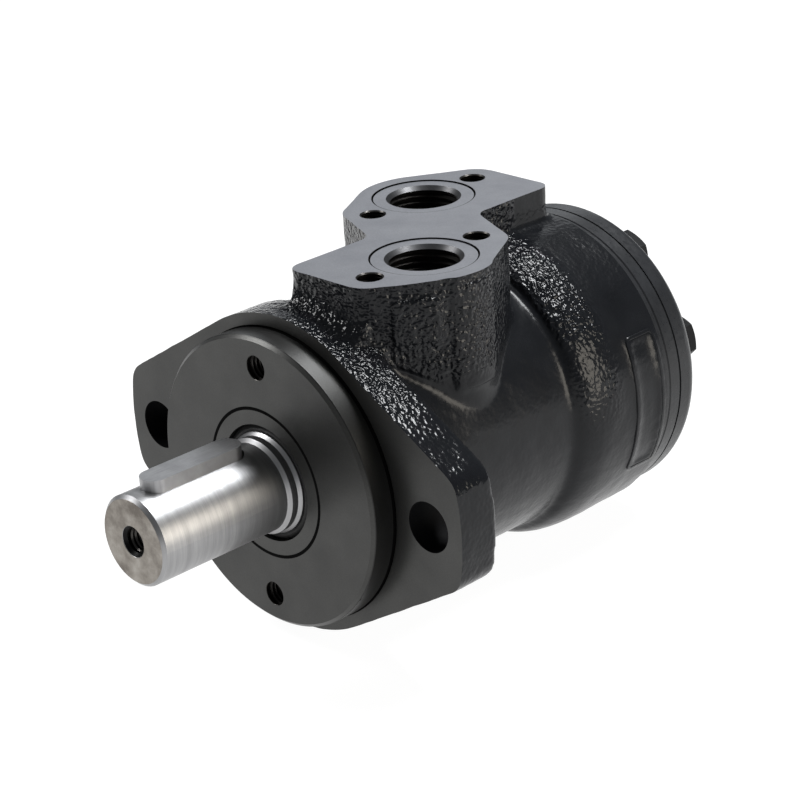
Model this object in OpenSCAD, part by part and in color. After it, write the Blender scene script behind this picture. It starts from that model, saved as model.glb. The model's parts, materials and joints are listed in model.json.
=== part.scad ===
// Orbital hydraulic motor with an oval two-bolt flange, side ports and a keyed shaft.
// Origin: centre of the mounting face. The shaft points to -Y, the ports to +Z, +X is right.
// All lengths are in millimetres.

/* [Mounting flange] */
// Diameter of the locating pilot
pilot_d = 82.55; // [80:0.05:84]
// Height of the pilot above the mounting face
pilot_h = 8; // [6:0.5:10]
// Radius of the round middle of the flange
flange_r = 45; // [44:0.5:48]
// Radius on which the two wings end
flange_reach = 65; // [63:0.5:70]
// Radius of the wing corners
flange_corner_r = 7; // [4:0.5:10]
// Thickness of the flange
flange_t = 13; // [10:0.5:16]
// Diameter of the two mounting holes
flange_hole_d = 14; // [11:0.1:14.5]
// Distance between the two mounting holes
flange_hole_pitch = 106.4; // [104:0.1:108]
// Core diameter of the two tapped holes in the pilot face
pilot_tap_d = 6.8; // [5:0.1:8.5]
// Distance between the two tapped holes in the pilot face
pilot_tap_pitch = 66; // [60:0.5:68]
// Depth of the tapped holes in the pilot face
pilot_tap_depth = 14; // [10:0.5:18]

/* [Housing] */
// Distance from the mounting face to the rear face of the housing
housing_l = 107.7; // [106:0.1:112]
// Diameter of the round waist behind the flange
waist_d = 80.6; // [77:0.2:82]
// Distance from the mounting face to the end of the waist
waist_end_y = 70; // [60:0.5:76]
// Diameter of the bulge that holds the bolt threads
bulge_d = 90; // [88:0.1:94]
// Diameter of the housing between the bulge and the machined rear edge
tail_d = 89.6; // [88:0.1:91]
// Diameter of the machined rear edge, the ring and the end cover
stack_d = 86.6; // [85:0.1:87.5]
// Radius of the casting fillet behind the flange
flange_fillet_r = 4.5; // [2:0.5:6]
// Radius of the casting fillet under the front of the port block
block_fillet_r = 6; // [3:0.5:8]
// Height of the raised pads on the port block
pad_h = 0.8; // [0.4:0.1:1.5]
// Height of the raised frame on the bulge
frame_h = 0.5; // [0.3:0.1:1]
// Diameter of the drain boss on the underside
drain_boss_d = 24; // [22:0.5:30]
// Distance from the shaft axis to the face of the drain boss
drain_face_z = 42; // [41.5:0.5:46]
// Distance from the mounting face to the drain port
drain_y = 30; // [28:0.5:36]

/* [Ports] */
// Distance from the shaft axis to the port face
port_face_z = 54.5; // [52:0.5:60]
// Distance of each port from the middle plane
port_x = 18; // [17:0.5:18]
// Distance from the mounting face to the front port
port_front_y = 38; // [36:0.5:39]
// Distance between the ports along the shaft
port_pitch = 36; // [35:0.5:38]
// Core diameter of the port threads
port_d = 19; // [16:0.1:20.5]
// Depth of the port threads
port_depth = 15; // [12:0.5:18]
// Diameter of the chamfer at the port mouths
port_mouth_d = 22; // [21:0.5:25]
// Diameter of the spot face round each port
spot_d = 29.2; // [26:0.1:31]
// Depth of the spot face round each port
spot_depth = 0.3; // [0.2:0.1:1]
// Distance between the two fixing holes beside each port
fix_pitch = 40; // [39:0.5:42]
// Core diameter of the fixing holes
fix_d = 6.8; // [5:0.1:8.5]
// Depth of the fixing holes
fix_depth = 13; // [10:0.5:16]
// Radius of the port block round each port
lobe_r = 19; // [18:0.5:20]
// Radius of the port block at its outer ends
nose_r = 8.5; // [7:0.5:9]
// Radius of the port block at its waist
ear_r = 9.3; // [8:0.1:10]
// Distance of the inner edges of the port block from the middle plane
block_edge_x = 5; // [4:0.5:7]
// Radius of the two notches in the port block
notch_r = 4.5; // [2:0.5:6]
// Width of the passages from the ports to the valve bore
passage_d = 10; // [8:0.5:10]

/* [Output shaft] */
// Diameter of the keyed shaft end
shaft_d = 25; // [22:0.5:26]
// Length of the shaft in front of the mounting face
shaft_out = 53.2; // [50:0.1:60]
// Diameter of the collar in front of the seal
collar_d = 27; // [26.4:0.1:28]
// Diameter of the seal journal
journal_d = 28.5; // [28.2:0.1:29]
// Core diameter of the tapped hole in the shaft end
end_tap_d = 6.8; // [5:0.1:8.5]
// Depth of the tapped hole in the shaft end
end_tap_depth = 20; // [12:0.5:24]
// Diameter of the valve spool on the shaft
spool_d = 36; // [35:0.5:36]
// Width of the key
key_w = 8; // [6:0.5:8]
// Height of the key
key_h = 7; // [6:0.5:8]
// Length of the key
key_l = 32; // [25:0.5:34]
// Distance from the shaft end to the key
key_inset = 5; // [3:0.5:6]
// Depth of the keyway below the shaft surface
keyway_depth = 4; // [3:0.5:4.5]

/* [Front seals] */
// Diameter of the seal carrier
carrier_d = 42; // [41:0.5:44]
// Diameter of the opening in the seal carrier
carrier_bore_d = 33; // [32:0.5:34]
// Length of the seal carrier
carrier_l = 9; // [8.5:0.5:10]
// Diameter of the shaft seal
seal_d = 38; // [37:0.5:39]
// Length of the shaft seal
seal_l = 7; // [6:0.5:7]
// Thickness of the backup ring behind the shaft seal
backup_t = 1.5; // [1:0.1:1.8]

/* [Thrust bearing] */
// Thickness of each bearing race
race_t = 1; // [0.8:0.1:1.5]
// Diameter of the bearing needles
needle_d = 2; // [1.5:0.1:2.5]
// Number of bearing needles
needle_count = 18; // [12:1:20]

/* [Rotor set] */
// Width of the ring of the rotor set
ring_w = 4.5; // [4:0.1:12]
// Radius of the circle of roller centres
roller_circle_r = 26; // [25.8:0.1:26.2]
// Diameter of a roller
roller_d = 10.4; // [9.6:0.1:10.8]
// Offset of the rotor axis from the shaft axis
offset_e = 2.5; // [2:0.1:2.6]
// Clearance between the rotor and the rollers
mesh_gap = 0.08; // [0.05:0.01:0.15]
// Outer radius of the splines on the drive link
spline_tip_r = 9.9; // [9:0.1:10]
// Diameter of the drive link between its splines
link_d = 14.4; // [11:0.2:15]
// Thickness of the port plate
plate_t = 5; // [4:0.5:6]
// Diameter of the port plate
plate_d = 53.2; // [52.4:0.1:54]

/* [End cover and bolts] */
// Thickness of the end cover
cover_t = 7.8; // [7:0.1:14]
// Radius of the rear edge of the end cover
cover_edge_r = 3.8; // [1:0.1:4]
// Diameter of the bolt circle
bolt_circle_d = 64; // [63.5:0.5:65]
// Nominal diameter of the cover bolts
bolt_d = 8; // [6:0.5:8]
// Width across the flats of the bolt heads
bolt_head_w = 13; // [10:0.5:13]
// Height of the bolt heads
bolt_head_h = 5.3; // [4:0.1:7]
// Thickness of the washers under the bolt heads
washer_t = 1; // [0.8:0.1:2]
// Depth of the bolt threads in the housing
bolt_reach = 15; // [12:0.5:18]

/* [Hidden] */
$fn = 72;

// Clearances: a static fit, a running fit, and an end gap that only separates faces
fit_gap = 0.03;
run_gap = 0.05;
end_gap = 0.02;
// A small overshoot for cuts, so that no cut ends on a face
over = 0.5;
// Depth by which straight walls lie inside the round ones that they run into
tuck = 0.06;

// Counts of the rotor set: rollers and bolts in the ring, lobes on the rotor
roller_count = 7;
lobe_count = roller_count - 1;
spline_teeth = 12;

// Places along the shaft axis, from front to rear
front_y = -pilot_h;
shaft_end_y = -shaft_out;
carrier_end_y = front_y + carrier_l;
seal_end_y = carrier_end_y + seal_l;
backup_end_y = seal_end_y + backup_t;
web_t = 3;
bearing_y = backup_end_y + web_t;
bearing_t = 2 * race_t + needle_d + 4 * end_gap;
spool_y = bearing_y + bearing_t;
plate_y = housing_l - plate_t;
spool_end_y = plate_y - 0.3;
ring_end_y = housing_l + ring_w;
cover_end_y = ring_end_y + cover_t;
washer_end_y = cover_end_y + washer_t;

// Radii that several pieces share
pilot_r = pilot_d / 2;
waist_r = waist_d / 2;
bulge_r = bulge_d / 2;
tail_r = tail_d / 2;
stack_r = stack_d / 2;
shaft_r = shaft_d / 2;
collar_r = collar_d / 2;
journal_r = journal_d / 2;
spool_r = spool_d / 2;
bore_r = spool_r + run_gap;
carrier_r = carrier_d / 2;
carrier_bore_r = carrier_bore_d / 2;
seal_r = seal_d / 2;
lip_r = journal_r + run_gap;
race_in_r = journal_r + 0.4;
race_out_r = spool_r - 0.4;
roller_r = roller_d / 2;
bolt_r = bolt_d / 2;
bolt_circle_r = bolt_circle_d / 2;
bolt_hole_r = bolt_r + 0.25;
groove_in_r = bolt_circle_r + bolt_hole_r + 1.4;
groove_w = 2.2;
groove_depth = 1.6;
edge_break = 0.35;
// Width of the machined land at the rear edge of the housing
edge_land = 3.2;

// Port block: port centres and the centres of the arcs of its outline
port_rear_y = port_front_y + port_pitch;
block_mid_y = port_front_y + port_pitch / 2;
nose_c = [port_x, port_front_y - fix_pitch / 2];
lobe_c = [port_x, port_front_y];
ear_c = [port_x + 1.3, port_front_y + fix_pitch / 2 - 2.4];
corner_r = 4;
corner_c = [corner_r - block_edge_x, nose_c[1] - nose_r + corner_r];
ear_slope = 66.2;

// Height above the shaft axis at which the passages from the ports end, inside the valve bore
passage_end_z = 8;

// Valve: grooves under the ports, timing holes between them, and channels to the rotor set
gallery_w = 8;
gallery_r = bore_r + 2;
timing_y = block_mid_y;
channel_r = 2.2;
channel_circle_r = gallery_r + channel_r + 1.3;
slot_count = 6;
slot_w = 3;
slot_depth = 2.4;

// Drive link: depth of its front spline in the spool, centres of its two splines, its tilt,
// and the spline proportions
link_inset = 38.4;
link_front_y = spool_end_y - link_inset;
link_rear_y = housing_l + ring_w / 2;
link_span = link_rear_y - link_front_y;
link_tilt = atan(offset_e / link_span);
link_l = norm([link_span, offset_e]);
spline_root_r = spline_tip_r - 1.6;
spline_play = 0.4;
spline_play_a = 2.2;
spline_half_l = 4;
bore_tip_r = spline_tip_r + spline_play;
bore_root_r = spline_root_r + 0.45;
shaft_cavity_r = spline_tip_r + 1.6;
link_r = link_d / 2;
plate_bore_r = spline_tip_r + offset_e + 0.8;

// Drive spacer: a loose disc in a pocket of the end cover, on the rotor axis
spacer_r = 9;
spacer_t = 2;
pocket_r = spacer_r + offset_e + 0.5;
pocket_depth = spacer_t + 0.3;

// Drain: threads, the hole from them to the valve bore, the plug and its washer
drain_thread_r = 6.5;
drain_thread_depth = 12;
drain_thread_l = 11;
drain_hole_r = 3;
drain_collar_r = 9;
drain_collar_t = 3;
drain_washer_t = 1.5;
drain_socket_w = 6;

casting_black = [0.13, 0.14, 0.15];
phosphate = [0.30, 0.30, 0.29];
ground_steel = [0.72, 0.72, 0.70];
dull_steel = [0.50, 0.50, 0.50];
seal_black = [0.06, 0.06, 0.06];
copper = [0.72, 0.45, 0.30];

// Point on a circle
function polar(r, a) = r * [cos(a), sin(a)];
// Angle of the k-th place on the ring, with the first place on top
function place_a(k) = 90 + 360 * k / roller_count;
// Angle of the k-th bolt, half a step from the rollers
function bolt_a(k) = place_a(k + 0.5);
// Angle of the normal of the line that touches two circles on their right side
function touch_a(c1, r1, c2, r2) =
    let (d = c2 - c1, l = norm(d)) atan2(d[1], d[0]) - acos((r1 - r2) / l);

// Turns a profile of radius and distance into a solid about the shaft axis
module turned(a = 360, start = 0) {
    rotate([-90, 0, 0]) rotate([0, 0, -start - a]) rotate_extrude(angle = a) children();
}
// Extrudes an outline drawn in X and Z from y0 to y1
module slab(y0, y1) {
    translate([0, y1, 0]) rotate([90, 0, 0]) linear_extrude(y1 - y0) children();
}
// Round bar along the shaft axis
module bar(r, y0, y1) {
    translate([0, y0, 0]) rotate([-90, 0, 0]) cylinder(r = r, h = y1 - y0);
}
// Ring along the shaft axis, with broken outer edges
module ring(r_in, r_out, y0, y1, b = 0) {
    turned() polygon([[r_in, y0], [r_out - b, y0], [r_out, y0 + b], [r_out, y1 - b],
        [r_out - b, y1], [r_in, y1]]);
}
// Copies its child to each place of a ring about the shaft axis
module around(n, first = 0) {
    for (k = [0 : n - 1]) rotate([0, -first - 360 * k / n, 0]) children();
}

// Outline of the flange in X and Z: a round middle and two blunt wings
module flange_outline() {
    corner_circle_r = flange_reach - flange_corner_r;
    side_a = 90 - 30.8;
    corner_a = side_a - acos((flange_r - flange_corner_r) / corner_circle_r);
    corner = polar(corner_circle_r, corner_a);
    circle(r = flange_r);
    intersection() {
        circle(r = flange_reach);
        for (s = [0, 1]) mirror([s, 0]) polygon([[0, 0], polar(flange_reach * 1.2, corner_a),
            polar(flange_reach * 1.2, -corner_a)]);
    }
    for (s = [0, 1], t = [0, 1]) mirror([s, 0]) mirror([0, t]) {
        translate(corner) circle(r = flange_corner_r);
        polygon([[0, 0], corner, corner + polar(flange_corner_r, side_a), polar(flange_r, side_a)]);
    }
}

// Outline of one half of the port block in X and Y, round the front port. Its straight
// walls lie a tuck inside the lines that touch the round ones, so that each crosses them.
module web_between(c1, r1, c2, r2) {
    a = touch_a(c1, r1, c2, r2);
    polygon([c1, c1 + polar(r1 - tuck, a), c2 + polar(r2 - tuck, a), c2]);
}
module lobe_outline() {
    edge_x = block_edge_x - tuck;
    front = corner_c[1] - corner_r + tuck;
    top = ear_c[1] + (ear_r - tuck + (ear_c[0] - edge_x) * cos(ear_slope)) / sin(ear_slope);
    translate(nose_c) circle(r = nose_r);
    translate(lobe_c) circle(r = lobe_r);
    translate(ear_c) circle(r = ear_r);
    translate(corner_c) circle(r = corner_r);
    web_between(nose_c, nose_r, lobe_c, lobe_r);
    web_between(lobe_c, lobe_r, ear_c, ear_r);
    polygon([[-edge_x, corner_c[1]], corner_c, [corner_c[0], front], [nose_c[0], front], nose_c,
        ear_c, ear_c + polar(ear_r - tuck, ear_slope), [edge_x, top], [-edge_x, top]]);
    notch_fill([edge_x, top]);
}
// Rounds the inside corner where the slope of this half meets the inner edge of the other
module notch_fill(corner) {
    run = notch_r * tan(ear_slope / 2);
    side = corner + run * [sin(ear_slope), -cos(ear_slope)];
    difference() {
        polygon([corner - [1, 1], side - [1, 1], side - 2 * tuck * [cos(ear_slope), sin(ear_slope)],
            corner + [notch_r, run], corner + [-2 * tuck, run], corner + [-1, run - 1]]);
        translate(corner + [notch_r - tuck, run - tuck]) circle(r = notch_r);
    }
}
module block_outline() {
    lobe_outline();
    translate([0, 2 * block_mid_y]) rotate(180) lobe_outline();
}

// Outer profile of the turned body of the housing, as radius and distance
function shoulder(n) = [for (k = [0 : n]) let (u = k / n)
    [waist_r + (bulge_r - waist_r) * sqrt(1 - pow(1 - u, 2)), waist_end_y + 12 * u]];
function tail(n) = [for (k = [0 : n]) let (u = k / n)
    [bulge_r + (tail_r - bulge_r) * (1 - cos(180 * u)) / 2, waist_end_y + 19 + 7 * u]];
function fillet(r, n) = [for (k = [0 : n]) let (a = 90 * k / n)
    [waist_r + r * (1 - sin(a)), flange_t + r * (1 - cos(a))]];
module body_profile() {
    fillet_r = min(flange_fillet_r, flange_r - waist_r - 0.2);
    polygon(concat([[0, flange_t - over], [waist_r + fillet_r, flange_t - over]],
        fillet(fillet_r, 6), shoulder(8), tail(4),
        [[tail_r, housing_l - edge_land], [stack_r, housing_l - edge_land + (tail_r - stack_r) / 2],
        [stack_r, housing_l - edge_break], [stack_r - edge_break, housing_l], [0, housing_l]]));
}

// Fillet between the front wall of the port block and the rim of the flange
module block_fillet() {
    wall_y = corner_c[1] - corner_r;
    r = block_fillet_r;
    turned(a = 34, start = 60) difference() {
        translate([flange_r - 3, wall_y - r - 1]) square([r + 2.5, r + 1.5]);
        translate([flange_r + r - tuck, wall_y - r + tuck]) circle(r = r);
        translate([flange_r - tuck, wall_y - r - 2]) square([r, 2 + tuck]);
    }
}

// Cast pads on the front wall of the port block: a square one on its flat, and a tall
// one on the round wall beside it
module wall_pads() {
    a = touch_a(nose_c, nose_r, lobe_c, lobe_r);
    flat_l = sqrt(pow(lobe_c[1] - nose_c[1], 2) - pow(lobe_r - nose_r, 2));
    translate([nose_c[0], nose_c[1], port_face_z - 17]) rotate(a)
        translate([nose_r - 2, flat_l - 14, 0]) cube([2 + pad_h, 13.6, 12.8]);
    translate([lobe_c[0], lobe_c[1], port_face_z - 32]) rotate(-22) rotate_extrude(angle = 43)
        translate([lobe_r - 2, 0]) square([2 + pad_h, 30]);
}
// Raised frame on the bulge, on the side of +X
module side_frame() {
    y0 = waist_end_y + 21.5;
    l = 10.8;
    arc = 52;
    w = 1;
    w_a = w / bulge_r * 180 / PI;
    difference() {
        turned(arc, -27) translate([tail_r - 2, y0]) square([2.2 + frame_h, l]);
        turned(arc - 2 * w_a, w_a - 27) translate([tail_r - 3, y0 + w]) square([4 + frame_h, l - 2 * w]);
    }
}

// Rough casting before machining
module casting() {
    wall_pads();
    side_frame();
    slab(0, flange_t) flange_outline();
    turned() body_profile();
    translate([0, 0, 10]) linear_extrude(port_face_z - 10) block_outline();
    block_fillet();
    translate([0, drain_y, -drain_face_z]) cylinder(d = drain_boss_d, h = 10);
}

// Screw hole with a countersunk mouth, drilled down from z = 0
module tapped_hole(d, depth, sink) {
    translate([0, 0, -depth]) cylinder(d = d, h = depth + over);
    translate([0, 0, -depth - d * 0.29]) cylinder(d1 = 0.2, d2 = d, h = d * 0.29);
    translate([0, 0, -sink]) cylinder(d1 = d, d2 = d + 2 * (sink + over), h = sink + over);
}

// Everything that drills and bores take out of one port
module port_cut() {
    translate([0, 0, -port_depth]) cylinder(d = port_d, h = port_depth + over);
    sink = (port_mouth_d - port_d) / 2;
    translate([0, 0, -sink - spot_depth]) cylinder(d1 = port_d, d2 = port_d + 2 * (sink + over),
        h = sink + over);
    translate([0, 0, -spot_depth]) cylinder(d = spot_d, h = spot_depth + over);
    translate([0, 0, passage_end_z - port_face_z])
        cylinder(d = passage_d, h = port_face_z - passage_end_z - port_depth + over);
}

// Bores of the housing about the shaft axis, from front to rear
module housing_bores() {
    bar(carrier_r + fit_gap, front_y - over, carrier_end_y);
    turned() polygon([[0, front_y - over], [carrier_r + edge_break + over, front_y - over],
        [carrier_r + fit_gap, front_y + edge_break], [0, front_y + edge_break]]);
    bar(seal_r + fit_gap, carrier_end_y - over, backup_end_y);
    bar(race_in_r, backup_end_y - over, bearing_y + over);
    bar(bore_r, bearing_y, plate_y + over);
    for (y = [port_front_y, port_rear_y]) bar(gallery_r, y - gallery_w / 2, y + gallery_w / 2);
    bar(plate_d / 2 + fit_gap, plate_y, housing_l + over);
}

// Timing holes and channels from the valve bore to the rotor set
module housing_channels() {
    for (k = [0 : roller_count - 1]) rotate([0, -bolt_a(k), 0]) {
        translate([bore_r - 2, timing_y, 0]) rotate([0, 90, 0])
            cylinder(r = channel_r, h = channel_circle_r - bore_r + 2);
        translate([channel_circle_r, timing_y, 0]) rotate([-90, 0, 0])
            cylinder(r = channel_r, h = plate_y - timing_y + over);
    }
}

module housing() {
    color(casting_black) difference() {
        union() {
            casting();
            turned() polygon([[0, front_y], [pilot_r - 1, front_y], [pilot_r, front_y + 1],
                [pilot_r, -1.6], [pilot_r - 0.6, -1.2], [pilot_r - 0.6, 0], [pilot_r - 0.6, over],
                [0, over]]);
        }
        turned() translate([pilot_r - 0.6, -over]) square([1.4, 1]);
        housing_bores();
        housing_channels();
        for (s = [-1, 1]) {
            translate([s * flange_hole_pitch / 2, 0, 0]) bar(flange_hole_d / 2, -over, flange_t + 6);
            translate([0, front_y, s * pilot_tap_pitch / 2]) rotate([90, 0, 0])
                tapped_hole(pilot_tap_d, pilot_tap_depth, 0.6);
        }
        for (s = [0, 1]) translate([0, block_mid_y, port_face_z]) rotate(180 * s) {
            translate([port_x, -port_pitch / 2, 0]) {
                port_cut();
                for (t = [-1, 1]) translate([0, t * fix_pitch / 2, 0])
                    tapped_hole(fix_d, fix_depth, 0.5);
            }
        }
        for (k = [0 : roller_count - 1]) rotate([0, -bolt_a(k), 0])
            translate([bolt_circle_r, 0, 0]) {
                bar(bolt_r + fit_gap, housing_l - bolt_reach - 2, housing_l + over);
            }
        ring(groove_in_r, groove_in_r + groove_w, housing_l - groove_depth, housing_l + over);
        translate([0, drain_y, -drain_face_z - over]) {
            cylinder(r = drain_thread_r + fit_gap, h = drain_thread_depth + over);
            cylinder(r = drain_hole_r, h = drain_face_z - spool_r + 1 + over);
        }
    }
}

// Front seals
module seal_carrier() {
    groove_y = carrier_end_y - 4;
    color(phosphate) difference() {
        turned() polygon([[carrier_bore_r, front_y], [carrier_r - edge_break, front_y],
            [carrier_r, front_y + edge_break], [carrier_r, carrier_end_y],
            [carrier_bore_r, carrier_end_y]]);
        bar(seal_r - 1.5, front_y + 2.5, carrier_end_y - 2.5);
        ring(carrier_r - 1.7, carrier_r + over, groove_y, groove_y + 2.3);
    }
}
module carrier_o_ring() {
    groove_y = carrier_end_y - 4;
    color(seal_black) turned() translate([carrier_r - 0.85, groove_y + 1.15]) circle(r = 0.83);
}
module dust_seal() {
    rear = carrier_end_y - 2.5;
    front = front_y + 2.5;
    out_r = seal_r - 1.5 - fit_gap;
    color(seal_black) turned() polygon([[lip_r, front_y + 0.9], [lip_r + 0.7, front_y + 0.5],
        [carrier_bore_r - 0.15, front_y + 1.6], [carrier_bore_r - 0.15, front + end_gap],
        [out_r, front + end_gap], [out_r, rear - end_gap], [lip_r + 1.2, rear - end_gap],
        [lip_r + 1.2, front]]);
}
module shaft_seal() {
    rear = seal_end_y - end_gap;
    front = carrier_end_y + end_gap;
    mid_r = (lip_r + seal_r) / 2;
    color(seal_black) turned() polygon([[lip_r + 1, front], [seal_r, front], [seal_r, rear],
        [mid_r + 1, rear], [mid_r + 0.6, front + 2], [lip_r + 1.4, front + 2],
        [lip_r + 1.2, rear - 0.6], [lip_r, rear - 1.6], [lip_r + 0.8, front + 1.8]]);
}
module backup_ring() {
    color(dull_steel) ring(journal_r + 0.25, seal_r, seal_end_y, backup_end_y - end_gap, 0.2);
}

// Thrust bearing between the web of the housing and the front of the spool
module race(y0) {
    ring(race_in_r, race_out_r, y0, y0 + race_t, 0.15);
}
needle_l = race_out_r - race_in_r - 1.2;
needle_mid_r = (race_out_r + race_in_r) / 2;
needle_y = bearing_y + race_t + 2 * end_gap + needle_d / 2;
module thrust_race_front() {
    color(ground_steel) race(bearing_y + end_gap);
}
module thrust_race_rear() {
    color(ground_steel) race(needle_y + needle_d / 2 + end_gap);
}
module thrust_cage() {
    half_t = needle_d * 0.36;
    color(dull_steel) difference() {
        ring(race_in_r + 0.1, race_out_r, needle_y - half_t, needle_y + half_t, 0.1);
        around(needle_count) translate([needle_mid_r - needle_l / 2 - 0.05,
            needle_y - needle_d, -needle_d / 2 - 0.05])
            cube([needle_l + 0.1, 2 * needle_d, needle_d + 0.1]);
    }
}
module thrust_needles() {
    color(ground_steel) around(needle_count) translate([needle_mid_r - needle_l / 2, needle_y, 0])
        rotate([0, 90, 0]) cylinder(d = needle_d, h = needle_l);
}

// Splines: points of a toothed outline, with half widths in degrees at root and tip
function spline_points(r_root, r_tip, a_root, a_tip) = [for (k = [0 : spline_teeth - 1])
    for (p = [[r_root, -a_root], [r_tip, -a_tip], [r_tip, a_tip], [r_root, a_root]])
        polar(p[0], 90 + 360 * k / spline_teeth + p[1])];
module link_spline_outline() {
    polygon(spline_points(spline_root_r, spline_tip_r, 8, 5));
}
module bore_spline_outline() {
    polygon(spline_points(bore_root_r, bore_tip_r, 8 + spline_play_a, 5 + spline_play_a));
}

// Slots of the valve spool: from one gallery towards the timing holes
module spool_slots(gallery_y, first) {
    reach = abs(gallery_y - timing_y) + 3;
    around(slot_count, first) translate([spool_r - slot_depth,
        gallery_y < timing_y ? gallery_y : gallery_y - reach, -slot_w / 2])
        cube([slot_depth + over, reach, slot_w]);
    ring(spool_r - slot_depth, spool_r + over, gallery_y - gallery_w / 2, gallery_y + gallery_w / 2);
}

module output_shaft() {
    key_z = shaft_r - keyway_depth;
    key_y = shaft_end_y + key_inset;
    color(ground_steel) difference() {
        turned() polygon([[0, shaft_end_y], [shaft_r - 1, shaft_end_y], [shaft_r, shaft_end_y + 1],
            [shaft_r, front_y - 3.4], [collar_r, front_y - 2.5], [collar_r, front_y - 0.5],
            [journal_r, front_y + 0.4], [journal_r, spool_y], [spool_r - 0.5, spool_y],
            [spool_r, spool_y + 0.5], [spool_r, spool_end_y - 0.5], [spool_r - 0.5, spool_end_y],
            [0, spool_end_y]]);
        translate([0, shaft_end_y, 0]) rotate([90, 0, 0]) tapped_hole(end_tap_d, end_tap_depth, 1);
        translate([0, 0, key_z]) linear_extrude(shaft_d)
            key_outline(key_y - 0.1, key_y + key_l + 0.8, key_w + 2 * fit_gap);
        spool_slots(port_front_y, 0);
        spool_slots(port_rear_y, 180 / slot_count);
        slab(link_front_y - spline_half_l - 2, spool_end_y) bore_spline_outline();
        bar(bore_root_r - 0.4, link_front_y - spline_half_l - 5, link_front_y);
        bar(shaft_cavity_r, link_front_y + spline_half_l + 2, spool_end_y + over);
    }
}

// Outline of the key, with round ends, in X and Y
module key_outline(y0, y1, w) {
    translate([-w / 2, y0 + w / 2]) square([w, y1 - y0 - w]);
    for (y = [y0 + w / 2, y1 - w / 2]) translate([0, y]) circle(d = w);
}
module shaft_key() {
    key_z = shaft_r - keyway_depth;
    key_y = shaft_end_y + key_inset;
    color(dull_steel) translate([0, 0, key_z + end_gap]) linear_extrude(key_h)
        key_outline(key_y, key_y + key_l, key_w);
}

// Drive link, drawn on the shaft axis and tilted to the rotor axis about its front spline
module link_end(l) {
    intersection() {
        slab(l - spline_half_l, l + spline_half_l) link_spline_outline();
        translate([0, l, 0]) rotate([-90, 0, 0]) sphere(r = spline_tip_r);
    }
}
module drive_link() {
    rear_half = ring_w / 2 - end_gap - spline_tip_r * sin(link_tilt);
    color(dull_steel) translate([0, link_front_y, 0]) rotate([link_tilt, 0, 0]) {
        link_end(0);
        intersection() {
            slab(link_l - spline_half_l, link_l + rear_half) link_spline_outline();
            translate([0, link_l, 0]) rotate([-90, 0, 0]) sphere(r = spline_tip_r);
        }
        turned() polygon([[0, -spline_half_l - 1], [spline_root_r - 2, -spline_half_l - 1],
            [spline_root_r - 1, -spline_half_l], [spline_root_r - 0.6, spline_half_l],
            [link_r, spline_half_l + 5], [link_r, link_l - spline_half_l - 5],
            [spline_root_r - 0.6, link_l - spline_half_l], [spline_root_r - 0.6, link_l + rear_half],
            [0, link_l + rear_half]]);
    }
}

// Port plate between the valve channels and the rotor set
module port_plate() {
    color(ground_steel) difference() {
        ring(plate_bore_r, plate_d / 2, plate_y, housing_l, 0.2);
        for (k = [0 : roller_count - 1]) rotate([0, -bolt_a(k), 0])
            translate([channel_circle_r, 0, 0]) bar(channel_r, plate_y - over, housing_l + over);
    }
}

// Rotor set
module bolt_holes(y0, y1) {
    for (k = [0 : roller_count - 1]) rotate([0, -bolt_a(k), 0])
        translate([bolt_circle_r, 0, 0]) bar(bolt_hole_r, y0 - over, y1 + over);
}
module gear_ring() {
    color(casting_black) difference() {
        ring(roller_circle_r, stack_r, housing_l, ring_end_y, edge_break);
        for (k = [0 : roller_count - 1]) rotate([0, -place_a(k), 0])
            translate([roller_circle_r, 0, 0]) bar(roller_r + run_gap, housing_l - over, ring_end_y + over);
        bolt_holes(housing_l, ring_end_y);
    }
}
module roller(k) {
    color(ground_steel) rotate([0, -place_a(k - 1), 0]) translate([roller_circle_r, 0, 0])
        turned() polygon([[0, housing_l + run_gap], [roller_r - 0.2, housing_l + run_gap],
            [roller_r, housing_l + run_gap + 0.2], [roller_r, ring_end_y - run_gap - 0.2],
            [roller_r - 0.2, ring_end_y - run_gap], [0, ring_end_y - run_gap]]);
}
// Path of the roller centres seen from the rotor, and the rotor outline beside it
function roller_path(t) = polar(roller_circle_r, t) - polar(offset_e, (lobe_count + 1) * t);
function path_normal(t) =
    let (d = roller_circle_r * [-sin(t), cos(t)]
        - offset_e * (lobe_count + 1) * [-sin((lobe_count + 1) * t), cos((lobe_count + 1) * t)])
    [d[1], -d[0]] / norm(d);
// The points lie closer together in the valleys, where the outline turns the fastest
module rotor_outline() {
    steps = lobe_count * 32;
    rotate(90) polygon([for (k = [0 : steps - 1])
        let (u = 360 * k / steps, t = u - lobe_count * sin(lobe_count * u))
        roller_path(t) - (roller_r + mesh_gap) * path_normal(t)]);
}
module rotor() {
    color(ground_steel) translate([0, 0, offset_e])
        slab(housing_l + run_gap, ring_end_y - run_gap) difference() {
            rotor_outline();
            bore_spline_outline();
        }
}
module drive_spacer() {
    color(dull_steel) translate([0, 0, offset_e])
        ring(0, spacer_r, ring_end_y + run_gap, ring_end_y + run_gap + spacer_t, 0.3);
}

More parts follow.
